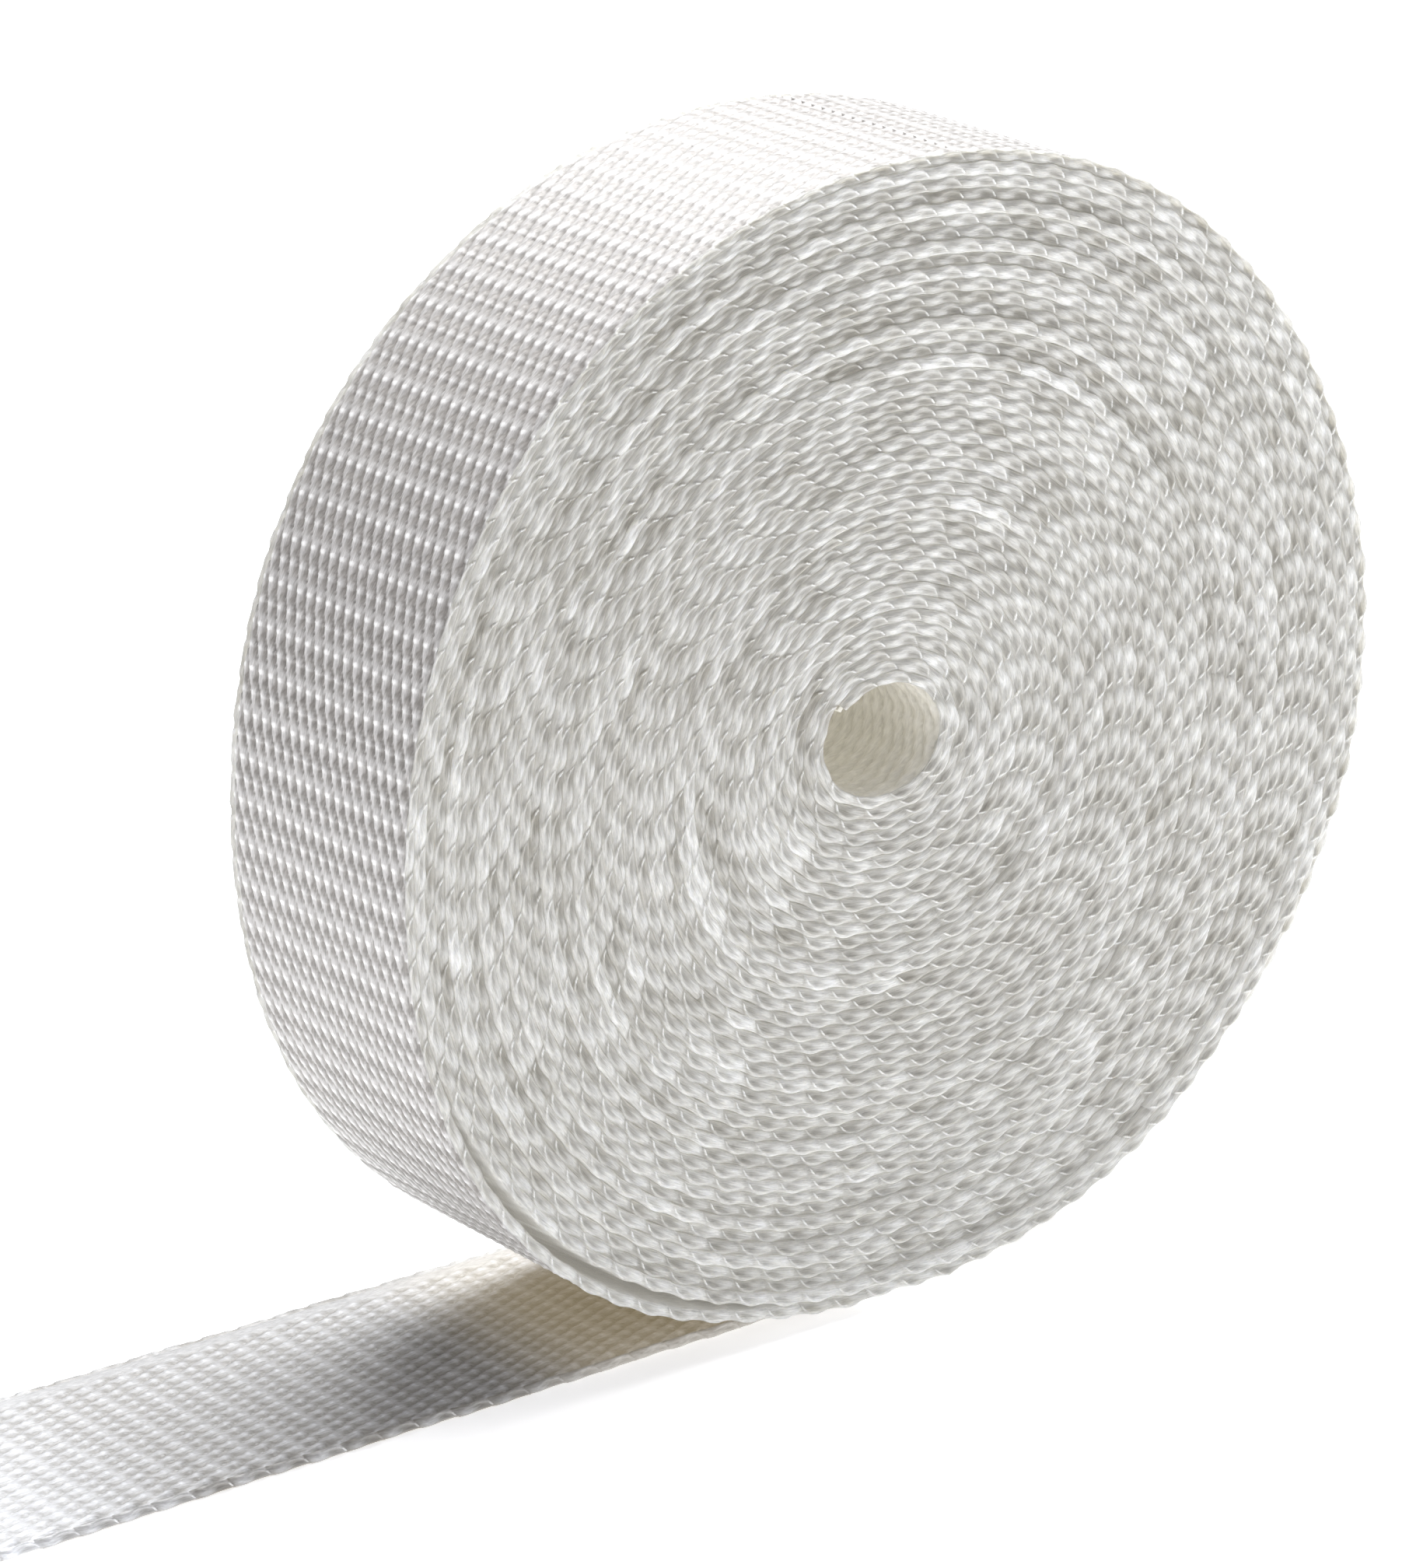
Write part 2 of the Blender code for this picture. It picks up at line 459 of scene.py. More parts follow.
def makeFibreLines():
    # fine lines of filaments along a yarn, from the map "fibre" in millimetres
    group = bpy.data.node_groups.new("fibreLines", "ShaderNodeTree")
    addSocket(group, "Lines", "NodeSocketFloat", "INPUT", 9.0)
    addSocket(group, "Stretch", "NodeSocketFloat", "INPUT", 0.9)
    addSocket(group, "Height", "NodeSocketFloat", "OUTPUT")
    addSocket(group, "Tone", "NodeSocketFloat", "OUTPUT")
    nodes = group.nodes
    link = group.links.new
    start = nodes.new("NodeGroupInput")
    end = nodes.new("NodeGroupOutput")
    where = nodes.new("ShaderNodeUVMap")
    where.uv_map = "fibre"
    scale = nodes.new("ShaderNodeCombineXYZ")
    link(start.outputs["Lines"], scale.inputs["X"])
    link(start.outputs["Stretch"], scale.inputs["Y"])
    stretch = nodes.new("ShaderNodeVectorMath")
    stretch.operation = "MULTIPLY"
    link(where.outputs["UV"], stretch.inputs[0])
    link(scale.outputs["Vector"], stretch.inputs[1])
    fine = nodes.new("ShaderNodeTexNoise")
    fine.inputs["Scale"].default_value = 1.0
    fine.inputs["Detail"].default_value = nylon["lineDetail"]
    fine.inputs["Roughness"].default_value = nylon["lineRoughness"]
    link(stretch.outputs["Vector"], fine.inputs["Vector"])
    patch = nodes.new("ShaderNodeTexNoise")
    patch.inputs["Scale"].default_value = nylon["patchScale"]
    patch.inputs["Detail"].default_value = nylon["patchDetail"]
    link(where.outputs["UV"], patch.inputs["Vector"])
    link(fine.outputs["Fac"], end.inputs["Height"])
    link(patch.outputs["Fac"], end.inputs["Tone"])
    return group


def makeYarnColour():
    # clean yarn at painted highlights, a warmer and darker one under painted shade, mixed by the point
    # attribute, which also holds darkness that differs at random
    group = bpy.data.node_groups.new("yarnColour", "ShaderNodeTree")
    addSocket(group, "Yarn", "NodeSocketColor", "INPUT", (0.85, 0.85, 0.83, 1.0))
    addSocket(group, "PaintedShadeColour", "NodeSocketColor", "INPUT", (0.5, 0.48, 0.4, 1.0))
    addSocket(group, "Tone", "NodeSocketFloat", "INPUT", 0.5)
    addSocket(group, "Variation", "NodeSocketFloat", "INPUT", 0.1)
    addSocket(group, "Line", "NodeSocketFloat", "INPUT", 0.5)
    addSocket(group, "Streaks", "NodeSocketFloat", "INPUT", 0.3)
    addSocket(group, "Color", "NodeSocketColor", "OUTPUT")
    nodes = group.nodes
    link = group.links.new
    start = nodes.new("NodeGroupInput")
    end = nodes.new("NodeGroupOutput")
    # the point attribute holds painted shade (1) and painted highlight (0)
    paintedShadeAndTone = nodes.new("ShaderNodeAttribute")
    paintedShadeAndTone.attribute_name = "paintedShadeAndTone"
    mix = nodes.new("ShaderNodeMix")
    mix.data_type = "RGBA"
    link(paintedShadeAndTone.outputs["Fac"], mix.inputs["Factor"])
    # a Mix node's colour sockets share their names with its others, so they go by number
    link(start.outputs["Yarn"], mix.inputs[6])
    link(start.outputs["PaintedShadeColour"], mix.inputs[7])
    amounts = []
    for value, strength in (("Tone", "Variation"), ("Line", "Streaks")):
        centred = nodes.new("ShaderNodeMath")
        centred.operation = "SUBTRACT"
        centred.inputs[1].default_value = 0.5
        link(start.outputs[value], centred.inputs[0])
        amount = nodes.new("ShaderNodeMath")
        amount.operation = "MULTIPLY_ADD"
        amount.inputs[2].default_value = 1.0
        link(centred.outputs["Value"], amount.inputs[0])
        link(start.outputs[strength], amount.inputs[1])
        amounts.append(amount)
    both = nodes.new("ShaderNodeMath")
    both.operation = "MULTIPLY"
    link(amounts[0].outputs["Value"], both.inputs[0])
    link(amounts[1].outputs["Value"], both.inputs[1])
    shade = nodes.new("ShaderNodeVectorMath")
    shade.operation = "SCALE"
    link(mix.outputs[2], shade.inputs[0])
    link(both.outputs["Value"], shade.inputs["Scale"])
    link(shade.outputs["Vector"], end.inputs["Color"])
    return group


def makePaintedGlowGroup():
    # a painted glow for light that comes through the yarn and for highlights, a little everywhere and more
    # where the point attribute says
    group = bpy.data.node_groups.new("paintedGlowGroup", "ShaderNodeTree")
    addSocket(group, "Light", "NodeSocketColor", "INPUT", (1.0, 0.96, 0.88, 1.0))
    addSocket(group, "Everywhere", "NodeSocketFloat", "INPUT", 0.02)
    addSocket(group, "PaintedGlow", "NodeSocketFloat", "INPUT", 0.2)
    addSocket(group, "Color", "NodeSocketColor", "OUTPUT")
    nodes = group.nodes
    link = group.links.new
    start = nodes.new("NodeGroupInput")
    end = nodes.new("NodeGroupOutput")
    paintedGlow = nodes.new("ShaderNodeAttribute")
    paintedGlow.attribute_name = "paintedGlow"
    total = nodes.new("ShaderNodeMath")
    total.operation = "MULTIPLY_ADD"
    link(paintedGlow.outputs["Fac"], total.inputs[0])
    link(start.outputs["PaintedGlow"], total.inputs[1])
    link(start.outputs["Everywhere"], total.inputs[2])
    light = nodes.new("ShaderNodeVectorMath")
    light.operation = "SCALE"
    link(start.outputs["Light"], light.inputs[0])
    link(total.outputs["Value"], light.inputs["Scale"])
    link(light.outputs["Vector"], end.inputs["Color"])
    return group


fibreLines = makeFibreLines()
yarnColour = makeYarnColour()
paintedGlowGroup = makePaintedGlowGroup()


def makeYarnMaterial(name):
    yarn = yarns[name]
    material = bpy.data.materials.new(name)
    material.use_nodes = True
    nodes = material.node_tree.nodes
    link = material.node_tree.links.new
    shader = nodes["Principled BSDF"]
    shader.inputs["Roughness"].default_value = yarn["roughness"]
    shader.inputs["IOR"].default_value = nylon["ior"]
    shader.inputs["Sheen Weight"].default_value = nylon["sheen"]
    shader.inputs["Sheen Roughness"].default_value = nylon["sheenRoughness"]
    shader.inputs["Emission Strength"].default_value = 1.0
    # the painted glow goes in as emission
    light = nodes.new("ShaderNodeGroup")
    light.node_tree = paintedGlowGroup
    light.inputs["Light"].default_value = yarn["paintedGlowColour"]
    light.inputs["Everywhere"].default_value = yarn["paintedGlowEverywhere"]
    light.inputs["PaintedGlow"].default_value = yarn["paintedGlow"]
    link(light.outputs["Color"], shader.inputs["Emission Color"])
    shader.inputs["Subsurface Weight"].default_value = yarn["seep"]
    shader.inputs["Subsurface Radius"].default_value = nylon["seepRadius"]
    shader.inputs["Subsurface Scale"].default_value = nylon["seepScale"]
    fibres = nodes.new("ShaderNodeGroup")
    fibres.node_tree = fibreLines
    fibres.inputs["Lines"].default_value = yarn["lines"]
    fibres.inputs["Stretch"].default_value = yarn["stretch"]
    colour = nodes.new("ShaderNodeGroup")
    colour.node_tree = yarnColour
    colour.inputs["Yarn"].default_value = yarn["yarn"]
    colour.inputs["PaintedShadeColour"].default_value = yarn["paintedShadeAndTone"]
    colour.inputs["Variation"].default_value = nylon["patchTone"]
    colour.inputs["Streaks"].default_value = yarn["streaks"]
    link(fibres.outputs["Tone"], colour.inputs["Tone"])
    link(fibres.outputs["Height"], colour.inputs["Line"])
    link(colour.outputs["Color"], shader.inputs["Base Color"])
    bump = nodes.new("ShaderNodeBump")
    bump.inputs["Strength"].default_value = nylon["bumpStrength"]
    bump.inputs["Distance"].default_value = yarn["bump"] * millimetre
    link(fibres.outputs["Height"], bump.inputs["Height"])
    link(bump.outputs["Normal"], shader.inputs["Normal"])
    return material


bandYarn = makeYarnMaterial("bandYarn")
looseYarn = makeYarnMaterial("looseYarn")
edgeYarn = makeYarnMaterial("edgeYarn")
groundYarn = makeYarnMaterial("groundYarn")

print("webbing: the wound strip")

# One repeat of the woven edge, in millimetres along the strip and inward from its outer side:
# the loop that the cross yarn makes, the eye inside it, the outermost yarn's bead and the
# short hook where that yarn comes up, which takes a painted highlight
edge = {
    "along": (0.0, 0.09, 0.20, 0.30, 0.5, 0.9, 1.35, 1.8, 2.2, 2.6, 3.0, 3.4),
    "tilts": (1.0, 1.0, 1.0, 1.0, 0.7, 0.2, 0.0, 0.0, 0.0, 0.0, 0.1, 0.35),
    "front": (0.02, 0.14, 0.30, 0.46, 0.62, 0.78, 0.94, 1.10),
    "back": (0.04, 0.34, 0.76, 1.08),
    "backOffset": 1.9,     # the back edge's repeat lies this far along from the front's
    "middle": 0.56,
    "round": 0.12,
    "loopFrom": (0.2, 0.3),
    "loopTo": (3.5, 0.5),
    "loopAlong": (0.25, 0.55, 1.0, 1.6, 2.2, 2.8, 3.3),
    "loopInward": (0.44, 0.27, 0.18, 0.17, 0.22, 0.36, 0.55),
    "loopWide": 0.16,
    "loopOut": 0.24,
    "beadAt": (2.4, 0.70),
    "beadReach": (0.85, 0.27),
    "beadOut": 0.22,
    "hookAt": 0.145,
    "hookSpan": (0.28, 0.94),
    "hookFade": 0.14,
    "hookSlope": -1.15,
    "hookWide": 0.10,
    "hookOut": 0.22,
    "eyeAt": (1.0, 0.62),
    "eyeReach": (0.55, 0.20),
    "eyeIn": 0.14,
    "bulge": 0.24,
    "bulgeAt": (1.5, 2.5),
    "bulgeReach": (0.95, 0.8),
    "bulgeFloor": 0.3,
    # painted shade on the yarn, and the painted highlight or shade that each form takes off that or adds;
    # the sides lighter, with a painted glow
    "shade": 0.53,
    "loopShade": 0.22,
    "beadShade": 0.38,
    "hookShade": 1.0,
    "eyeShade": 0.15,
    "sideShade": 0.22,
    "sidePaintedGlow": 0.75,
    "hookPaintedGlow": 0.5,
    # how much the repeats differ in darkness at random, in how far they stand out and in their hooks'
    # painted highlights
    "fadeSpread": 0.10,
    "pushSpread": 0.05,
    "glints": (0.25, 1.0),
    # where the woven pieces lie on the strip's two sides
    "outsideTucks": (0.52, 0.09, -0.05),
    "insideTuck": 0.60,
    "tuckDepth": -0.34,
    # painted shade on turns that lie back, and painted light on all near the floor
    "recess": 0.06,
    "recessByStand": 0.22,
    "recessLimits": (-0.10, 0.25),
    "heightShade": 0.13,
    "heightReach": 35.0,
    # painted shade and painted glow on the two sides that face each other across the crescent
    "facingShade": 0.66,
    "facingPaintedGlow": 0.6,
}


def edgeRelief(along, inward, glint):
    # Where each point moves to, how far it stands out, its painted shade and highlights and how much
    # painted glow it takes. Glint is how bright the painted highlight on the unit's hook is
    along = np.where(along > edge["loopTo"][0], along - strip["repeat"], along)
    side = np.abs(inward - edge["middle"]) / edge["middle"]
    loopLine = np.interp(along, edge["loopAlong"], edge["loopInward"])
    loopOn = (
        ease((along - edge["loopFrom"][0]) / edge["loopFrom"][1])
        * ease((edge["loopTo"][0] - along) / edge["loopTo"][1]))
    loop = loopOn * np.exp(-((inward - loopLine) / edge["loopWide"]) ** 2)
    beadX = (along - edge["beadAt"][0]) / edge["beadReach"][0]
    beadY = (inward - edge["beadAt"][1]) / edge["beadReach"][1]
    bead = np.exp(-(beadX ** 2 + beadY ** 2) ** 1.5)
    hookAside = along - edge["hookAt"] - (inward - edge["middle"]) / edge["hookSlope"]
    hookOn = (
        ease((inward - edge["hookSpan"][0]) / edge["hookFade"])
        * ease((edge["hookSpan"][1] - inward) / edge["hookFade"]))
    hook = glint * hookOn * np.exp(-(hookAside / edge["hookWide"]) ** 4)
    eyeX = (along - edge["eyeAt"][0]) / edge["eyeReach"][0]
    eyeY = (inward - edge["eyeAt"][1]) / edge["eyeReach"][1]
    eye = np.exp(-(eyeX ** 2 + eyeY ** 2))
    outward = (
        -edge["round"] * side ** 3 + edge["loopOut"] * loop + edge["beadOut"] * bead
        + edge["hookOut"] * hook - edge["eyeIn"] * eye)
    shade = (
        edge["shade"] - edge["loopShade"] * loop - edge["beadShade"] * bead
        - edge["hookShade"] * hook + edge["eyeShade"] * eye - edge["sideShade"] * side ** 5)
    # the loop bulges over the turn outside it and the bead over the one inside
    outer = np.clip(1.0 - inward / 0.5, 0.0, 1.0)
    inner = np.clip((inward - 0.6) / 0.5, 0.0, 1.0)
    loopBulge, beadBulge = (
        np.exp(-((along - at) / reach) ** 2) - edge["bulgeFloor"]
        for at, reach in zip(edge["bulgeAt"], edge["bulgeReach"]))
    moved = inward - edge["bulge"] * outer * loopBulge + 0.5 * edge["bulge"] * inner * beadBulge
    return moved, outward, shade, edge["sidePaintedGlow"] * side ** 5 + edge["hookPaintedGlow"] * hook


def makeRun(name, first, repeats, toPoint, recess, paintedLightMask, covered, lined, seed, material, slot,
            node=None):
    # A length of the strip with its two woven edges, a closed tube of rings. The outside of a
    # covered ring and the inside of a lined one are pushed in, as a woven piece lies on them
    draw = np.random.default_rng(seed)
    unit = np.repeat(np.arange(repeats), len(edge["along"]))
    along = np.tile(edge["along"], repeats)
    unit = np.append(unit, repeats)
    along = np.append(along, 0.0)
    length = (first + unit) * strip["repeat"] + along
    total = len(length)
    # painted shade and light by length, and darkness that differs at random from repeat to repeat
    fade = recess(length)[:, None] + draw.normal(0.0, edge["fadeSpread"], repeats + 1)[unit][:, None]
    push = draw.normal(0.0, edge["pushSpread"], repeats + 1)[unit][:, None]
    # a painted highlight on each repeat's hook, of random strength
    glint = draw.uniform(*edge["glints"], repeats + 1)[unit][:, None]
    parts = []
    for face, places, offset in (
            (-1.0, edge["front"], 0.0), (1.0, edge["back"], edge["backOffset"])):
        inward = np.repeat(np.array(places)[None], total, 0)
        # the rings lean along the hooks of the front edge
        lean = np.append(np.tile(edge["tilts"], repeats), 0.0)[:, None] * (face < 0.0)
        lean = lean * (inward - edge["middle"]) / edge["hookSlope"]
        lengthHere = np.clip(length[:, None] + lean, length[0], length[-1])
        alongHere = (along[:, None] + lean + offset) % strip["repeat"]
        inward, outward, shade, bright = edgeRelief(alongHere, inward, glint)
        outward = outward + push
        hidden = covered(length)
        tuck, drop, least = edge["outsideTucks"]
        inward[hidden, 1] = np.maximum(inward[hidden, 1] - drop, least)
        inward[hidden, 0] = tuck
        outward[hidden, 0] = edge["tuckDepth"]
        hidden = lined(length)
        inward[hidden, -1] = edge["insideTuck"]
        outward[hidden, -1] = edge["tuckDepth"]
        y = face * (strip["width"] / 2.0 + outward)
        # painted shade and highlights, and where the mask says a fixed painted shade with a painted glow
        value = np.clip(shade + fade, 0.0, 1.0)
        facing = paintedLightMask(length, inward)
        value = value * (1.0 - facing) + edge["facingShade"] * facing
        paintedGlow = np.maximum(edge["facingPaintedGlow"] * facing, bright * (1.0 - facing))
        order = slice(None) if face < 0.0 else slice(None, None, -1)
        made = (inward, y, value, paintedGlow, lengthHere)
        parts.append([array[:, order] for array in made])
    inward, y, value, paintedGlow, lengthHere = (np.concatenate(pair, axis=1) for pair in zip(*parts))
    sides = inward.shape[1]
    points = toPoint(lengthHere, inward, y)
    quads, marks = ringFaces(total, sides)
    quads = quads[:, ::-1]
    marks = marks[:, ::-1]
    place = np.maximum(placeAt(length), 0.0) if slot == "wound_roll" else length / 100.0
    place = place - np.floor(place[0])
    rows = int(math.ceil(place[-1]))
    step = np.repeat(np.arange(total - 1), sides)
    row = np.minimum(np.floor(place[step]), rows - 1)
    stepNow = np.rint(marks[:, :, 1] * (total - 1)).astype(int)
    bake = np.stack((
        (place[stepNow] - row[:, None] + 0.02) / 1.08,
        (row[:, None] + 0.04 + 0.92 * marks[:, :, 0]) / (rows + 0.1),
    ), axis=-1)
    acrossBack = strip["width"] + strip["thickness"]
    rim = np.array(edge["front"] + tuple(acrossBack + back for back in edge["back"]))
    fibre = np.stack((np.repeat(rim[None], total, 0), np.repeat(length[:, None], sides, 1)), axis=-1)
    fibre = fibre.reshape(-1, 2)[quads]
    fan = np.arange(1, sides - 1)
    last = (total - 1) * sides
    tris = np.concatenate((
        np.stack((np.zeros_like(fan), fan, fan + 1), 1),
        np.stack((last + np.zeros_like(fan), last + fan + 1, last + fan), 1),
    ))
    triMarks = capMarks(len(tris), 0.997)
    return makePiece(
        name, points.reshape(-1, 3), quads, tris,
        {"fibre": (fibre, triMarks), "OFBake": (bake, triMarks)},
        {"paintedShadeAndTone": value.ravel(), "paintedGlow": paintedGlow.ravel()}, material, node)


def woundPoint(length, inward, y):
    place = placeAt(length)
    return stripPoint(place, inward, y + sideShift(place))


def woundPaintedShade(length):
    # painted shade on turns that lie back, and painted light on those close to the floor
    place = placeAt(length)
    stand = standAt(place)
    turn, angle = splitPlace(place)
    radius = roll["axisHeight"] - roll["turnPitch"] * turn
    height = roll["axisHeight"] - radius * np.cos(np.radians(angle))
    recess = np.clip(edge["recess"] - edge["recessByStand"] * stand, *edge["recessLimits"])
    return recess + edge["heightShade"] * ease(height / edge["heightReach"])


def woundPaintedLightMask(length, inward):
    # the two sides that face each other across the crescent, which take a painted shade and a painted glow
    place = placeAt(length)[:, None]
    swing = crescentSwing(splitPlace(place)[1]) ** 0.5
    innerSide = (place < 1.0) & (inward > 1.0)
    outerSide = (place >= 1.0) & (place < 2.0) & (inward < 0.06)
    return np.where(innerSide | outerSide, swing, 0.0)


def makeWoundStrip():
    units = int(stripLength / strip["repeat"])
    cuts = np.linspace(0, units, 5).astype(int)
    names = ("turns_outer", "turns_second", "turns_third", "turns_inner")
    for number, name in enumerate(names):
        makeRun(
            name, int(cuts[number]), int(cuts[number + 1] - cuts[number]),
            woundPoint, woundPaintedShade, woundPaintedLightMask,
            lambda length: placeAt(length) < roll["coveredTo"],
            lambda length: placeAt(length) > roll["lastTurn"] - 1.0,
            10 + number, edgeYarn, "wound_roll", "wound_roll" if number == 0 else None)


makeWoundStrip()

print("webbing: the woven outside")

# Floats of the warp: two sets, half a repeat and half a column apart. Each rises to its crown
# and falls away behind it
weave = {
    "crown": -0.02,
    "rise": 0.15,
    "drop": 0.14,
    "dome": 0.15,
    "floor": -0.30,
    "lean": 0.25,
    "pearl": 0.045,
    "pearlAcross": 0.19,
    "pearlAlong": 0.05,
    "riseBend": 1.35,
    "dropBend": 0.9,
    "fullWidth": 0.4,
    # painted shade on a crown, and the painted shade that its slopes, sides and the slits add
    "shade": 0.42,
    "riseShade": 0.42,
    "riseReach": 0.25,
    "dropShade": 0.1,
    "sideShade": 0.34,
    "slitShade": 0.95,
    # the strip's two long sides fall away to the edges
    "rimDrop": 0.3,
    "rimWide": 0.5,
    # where the woven pieces lie, inward from the strip's outer side, and how deep they reach
    "outsideAt": 0.06,
    "boreAt": 1.03,
    "under": 0.75,
    "sharpFrom": 75.0,
    "across": (0.0, 0.16, 0.33, 0.5, 0.67, 0.84),        # shares of a column
    "along": (0.0, 0.035, 0.09, 0.17, 0.26, 0.35, 0.44),    # shares of half a repeat, less the half
}

# How wide a float shows, half its width in columns, by its distance from the crown in repeats
floatWidths = {
    "places": (-0.46, -0.40, -0.30, -0.20, -0.10, -0.04, 0.0, 0.06, 0.18, 0.30, 0.40, 0.47),
    "first": (0.0, 0.12, 0.26, 0.38, 0.44, 0.42, 0.38, 0.33, 0.29, 0.22, 0.10, 0.0),
    "second": (0.0, 0.0, 0.08, 0.17, 0.28, 0.36, 0.36, 0.32, 0.28, 0.20, 0.08, 0.0),
    "firstDarkFrom": 0.33,
    "secondDarkFrom": 0.15,
}


def floatHeight(across, along, middle, crownAt, widths, darkFrom):
    ahead = (along - crownAt + 0.5) % 1.0 - 0.5
    aside = (across - middle + weave["lean"] * ahead + 0.5) % 1.0 - 0.5
    near = np.abs(ahead) / 0.5
    width = np.interp(ahead, floatWidths["places"], widths)
    inside = np.clip(1.0 - (aside / np.maximum(width, 1e-4)) ** 2, 0.0, 1.0)
    dome = weave["dome"] * np.clip(width / weave["fullWidth"], 0.0, 1.0) * (np.sqrt(inside) - 1.0)
    slope = np.where(
        ahead < 0.0, weave["rise"] * near ** weave["riseBend"], weave["drop"] * near ** weave["dropBend"])
    height = weave["crown"] - slope + dome
    pearl = np.exp(-(aside / weave["pearlAcross"]) ** 2 - ((ahead - 0.01) / weave["pearlAlong"]) ** 2)
    height = height + weave["pearl"] * pearl
    # painted shade: rising slopes darker, falling ones a little, sides and slits dark, and a painted
    # highlight on the knuckle
    rising = weave["riseShade"] * ease((near - darkFrom) / weave["riseReach"])
    slopeShade = np.where(ahead < 0.0, rising, weave["dropShade"] * near)
    shade = weave["shade"] + slopeShade + weave["sideShade"] * (1.0 - np.sqrt(inside))
    shows = (inside > 0.0) & (width > 0.02)
    height = np.where(shows, height, weave["floor"])
    return height, np.where(shows, shade * (1.0 - pearl), weave["slitShade"]), pearl


def weaveHeight(across, along):
    # height over the strip's face, the painted shade there and a painted glow as highlight on its knuckles
    first, firstShade, firstPearl = floatHeight(
        across, along, 0.0, 0.0, floatWidths["first"], floatWidths["firstDarkFrom"])
    second, secondShade, secondPearl = floatHeight(
        across, along, 0.5, 0.5, floatWidths["second"], floatWidths["secondDarkFrom"])
    shade = np.where(first >= second, firstShade, secondShade + 0.15 * secondPearl)
    height = np.maximum(np.maximum(first, second), weave["floor"])
    return height, shade, np.maximum(firstPearl, 0.5 * secondPearl)


def reliefPiece(name, startLength, repeats, toPoint, under, material, node=None, dim=None):
    # toPoint takes length, height over the strip's face and y; under is how deep the base lies.
    # dim, if any, gives the painted shade to add and the painted glow by length, for the loose
    # end, which is softer and has a plain border at the back
    across = (np.arange(strip["columns"])[:, None] + np.array(weave["across"])[None]).ravel()
    across = np.append(across, strip["columns"])
    along = (np.arange(2 * repeats)[:, None] * 0.5 + np.array(weave["along"])[None]).ravel()
    along = np.append(along, repeats)
    acrossCount = len(across)
    alongCount = len(along)
    column, step = np.meshgrid(across, along)
    height, shade, paintedGlow = weaveHeight(column, step)
    if dim:
        darker, paintedGlow = dim(step * strip["repeat"])
        plain = 1.0 - ease((strip["columns"] - column - 1.0) / loose["borderFade"])
        height = (1.0 - plain) * loose["softness"] * height - loose["borderSink"] * plain
        shade = (1.0 - plain) * (0.5 + loose["softness"] * (shade - 0.5)) + 0.5 * plain + darker
    rim = np.minimum(column, strip["columns"] - column)
    height = height - weave["rimDrop"] * (1.0 - ease(rim / weave["rimWide"]))
    y = (column - strip["columns"] / 2.0) * strip["columnPitch"]
    length = startLength + step * strip["repeat"]
    top = toPoint(length, height, y)
    # a plain base closes it, one row of points down each long side
    sideY = np.array((y[0, -1], y[0, 0]))
    baseY = np.repeat(sideY[None], alongCount, 0)
    baseLength = np.repeat(length[:, :1], 2, 1)
    base = toPoint(baseLength, np.full_like(baseLength, -under), baseY)
    ring = np.concatenate((top, base), axis=1)
    sides = acrossCount + 2
    points = ring.reshape(-1, 3)
    quads, marks = ringFaces(alongCount, sides)
    width = strip["columns"] * strip["columnPitch"]
    acrossMarks = np.concatenate((across / strip["columns"], (1.01, 1.05)))
    fibreX = np.concatenate((y[0], (y[0, -1] + under, y[0, -1] + under + width)))
    fibre = np.stack((np.repeat(fibreX[None], alongCount, 0), np.repeat(length[:, :1], sides, 1)), -1)
    rows = 4
    perRow = int(math.ceil((alongCount - 1) / rows))
    row = np.repeat(np.arange(alongCount - 1), sides) // perRow
    alongHere = marks[:, :, 1] * (alongCount - 1)
    sideNow = np.rint(marks[:, :, 0] * sides).astype(int)
    acrossNow = np.concatenate((acrossMarks, (1.08,)))[sideNow]
    bake = np.stack((
        0.01 + 0.98 * (alongHere - row[:, None] * perRow) / perRow,
        (row[:, None] + 0.02 + 0.88 * acrossNow) / rows,
    ), axis=-1)
    fan = np.arange(1, sides - 1)
    last = (alongCount - 1) * sides
    tris = np.concatenate((
        np.stack((np.full_like(fan, sides - 1), fan, fan - 1), 1),
        np.stack((np.full_like(fan, last + sides - 1), last + fan - 1, last + fan), 1),
    ))
    triMarks = capMarks(len(tris), 0.996)
    # painted shade and highlights; the hidden base takes full painted shade
    paintedShadeAndTone = np.concatenate((np.clip(shade, 0.0, 1.0), np.ones((alongCount, 2))), axis=1)
    paintedGlow = np.concatenate((paintedGlow, np.zeros((alongCount, 2))), axis=1)
    return makePiece(
        name, points, quads, tris,
        {"fibre": (fibre.reshape(-1, 2)[quads], triMarks), "OFBake": (bake, triMarks)},
        {"paintedShadeAndTone": paintedShadeAndTone.ravel(), "paintedGlow": paintedGlow.ravel()}, material, node, weave["sharpFrom"])


def bandPoint(length, height, y):
    place = placeAt(length)
    return stripPoint(place, weave["outsideAt"] - height, y + sideShift(place))


def makeOutside():
    whole = int(np.interp(roll["outsideEnds"], measurePlaces, measureLengths) / strip["repeat"])
    half = whole // 2
    reliefPiece("outside_right", 0.0, half, bandPoint, weave["under"], bandYarn)
    reliefPiece("outside_left", half * strip["repeat"], whole - half, bandPoint, weave["under"],
                bandYarn)


makeOutside()

print("webbing: the hole")


def borePoint(length, height, y):
    place = placeAt(length)
    return stripPoint(place, weave["boreAt"] + height, -y + sideShift(place))


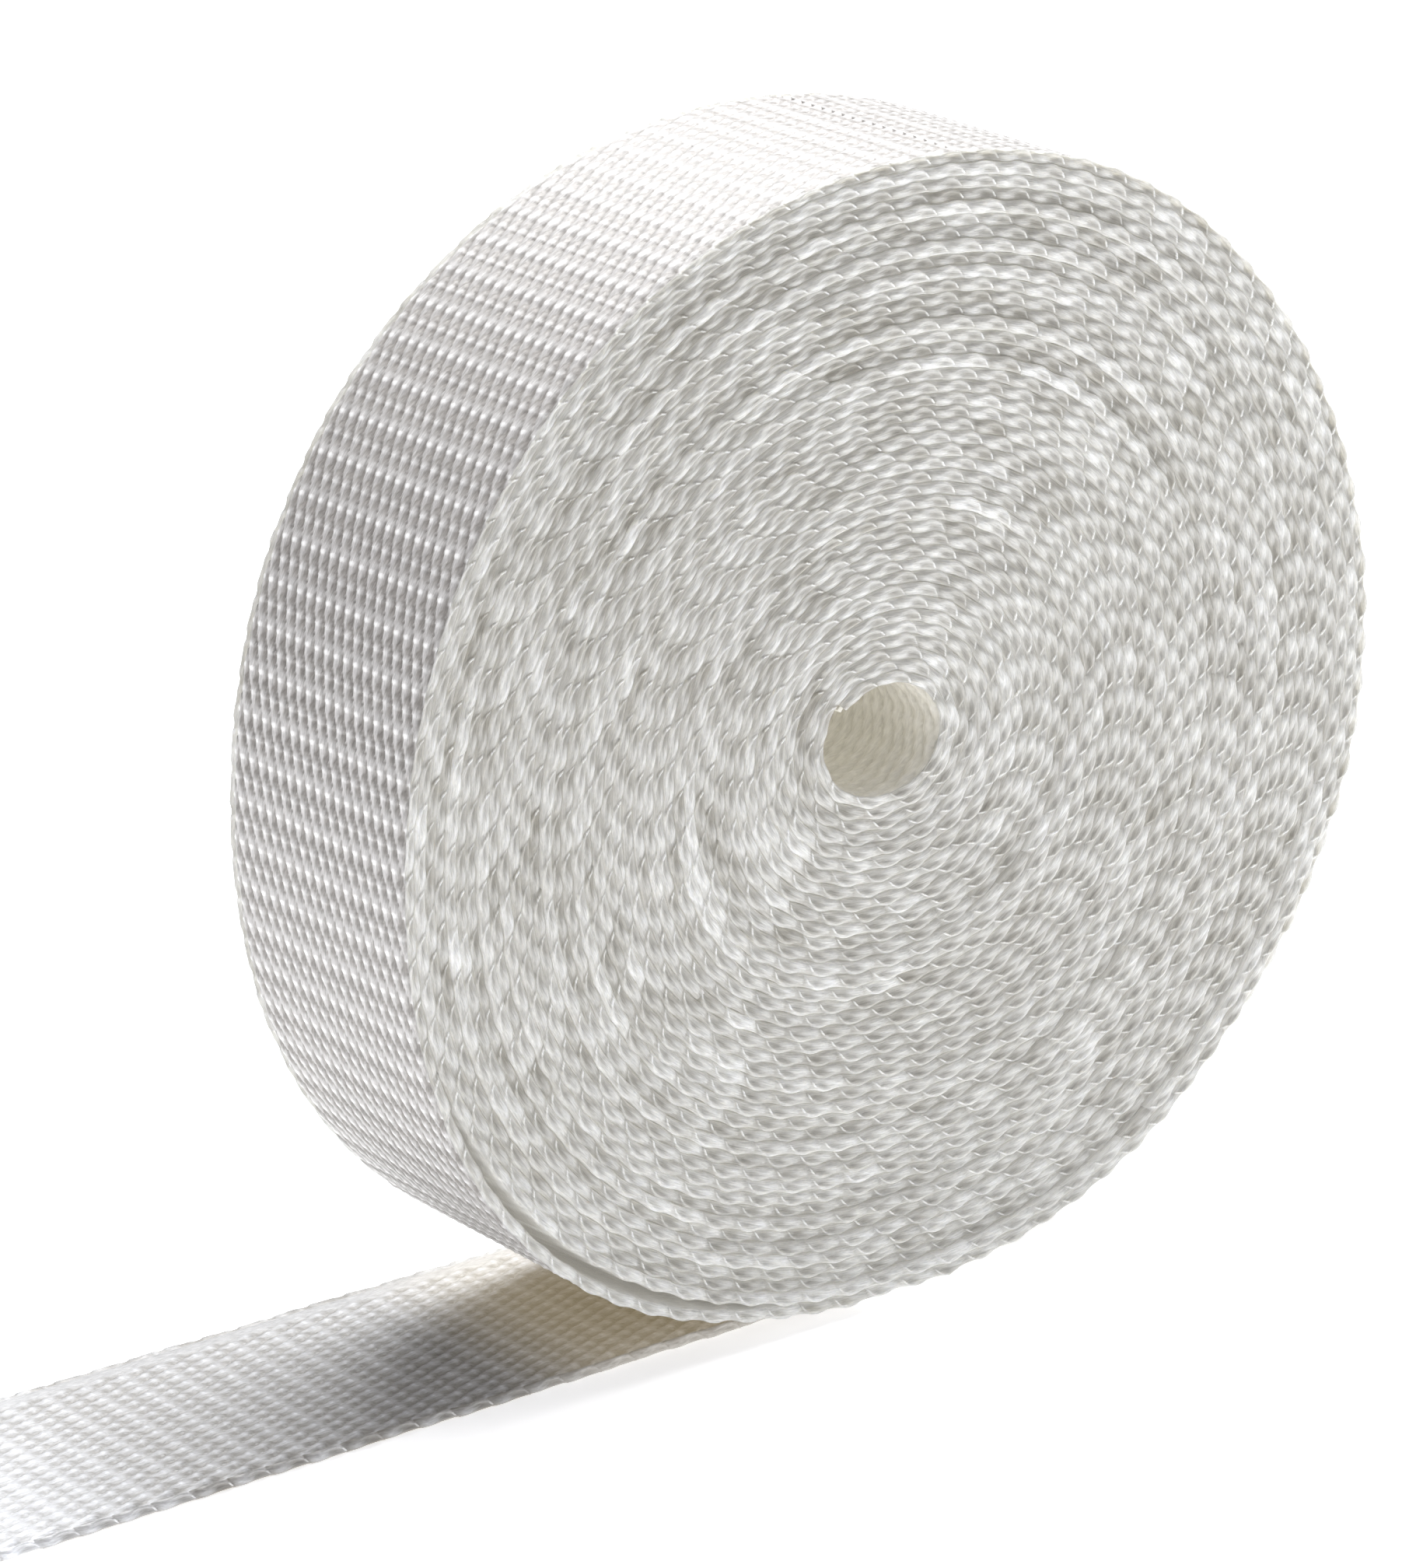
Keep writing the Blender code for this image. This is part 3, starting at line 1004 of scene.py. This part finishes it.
def makeBore():
    start = np.interp(roll["lastTurn"] - 1.0, measurePlaces, measureLengths)
    repeats = int((stripLength - start) / strip["repeat"])
    reliefPiece("hole_lining", stripLength - repeats * strip["repeat"], repeats, borePoint,
                weave["under"], groundYarn)


makeBore()

print("webbing: the loose end")

# The loose end, flat on the floor, cut off square just outside the picture
loose = {
    "startX": -3.57,
    "endX": -100.0,
    "turn": math.radians(-0.5),
    "top": 1.12,
    "edgeShare": 0.999,
    "underGap": 0.06,
    "softness": 0.8,       # its relief and contrast against the outside's
    "borderFade": 0.6,     # columns over which the weave gives way to the plain border
    "borderSink": 0.05,
    # a painted shadow of the roll, darker towards it; paler makes it all lighter; painted shade on the
    # back edge; a painted warm glow close to the roll
    "dark": 0.44,
    "darkFrom": -96.0,
    "darkReach": 30.0,
    "paler": 0.27,
    "edgeDarker": 0.2,
    "glowFrom": -40.0,
    "glowReach": 14.0,
}


def loosePoint(length, height, y):
    along = loose["startX"] - length
    across = roll["setBack"] + along * math.tan(loose["turn"]) + y
    return np.stack((along, across, loose["top"] + height), axis=-1)


def looseEdgePoint(length, inward, y):
    # a hair shorter than the sheet, so that the two cut ends don't lie in one plane
    return loosePoint(length * loose["edgeShare"], -inward, y)


def loosePaintedShadowAndGlow(length):
    # painted shadow of the roll, darker towards it, and a painted warm glow close to it for the light it
    # throws back
    x = loose["startX"] - length
    darker = loose["dark"] * ease((x - loose["darkFrom"]) / loose["darkReach"]) - loose["paler"]
    return darker, ease((x - loose["glowFrom"]) / loose["glowReach"])


def looseEdgePaintedShade(length):
    # the roll's painted shadow, with painted shade on the edges
    return loosePaintedShadowAndGlow(length)[0] + loose["edgeDarker"]


def looseEdgePaintedLightMask(length, inward):
    # a painted warm glow close to the roll, where the edges also take a fixed painted shade
    return loosePaintedShadowAndGlow(length)[1][:, None] + 0.0 * inward


def everywhere(length):
    return np.full(len(length), True)


def nowhere(length):
    return np.full(len(length), False)


def makeLooseEnd():
    reach = loose["startX"] - loose["endX"]
    repeats = int(reach / strip["repeat"])
    sheet = reliefPiece("loose_strip", 0.0, repeats, loosePoint, loose["top"] - loose["underGap"],
                        looseYarn, "loose_end", loosePaintedShadowAndGlow)
    edges = makeRun("loose_edges", 0, repeats, looseEdgePoint, looseEdgePaintedShade, looseEdgePaintedLightMask,
                    everywhere, nowhere, 8, looseYarn, "loose_end")


makeLooseEnd()

print("webbing: done")
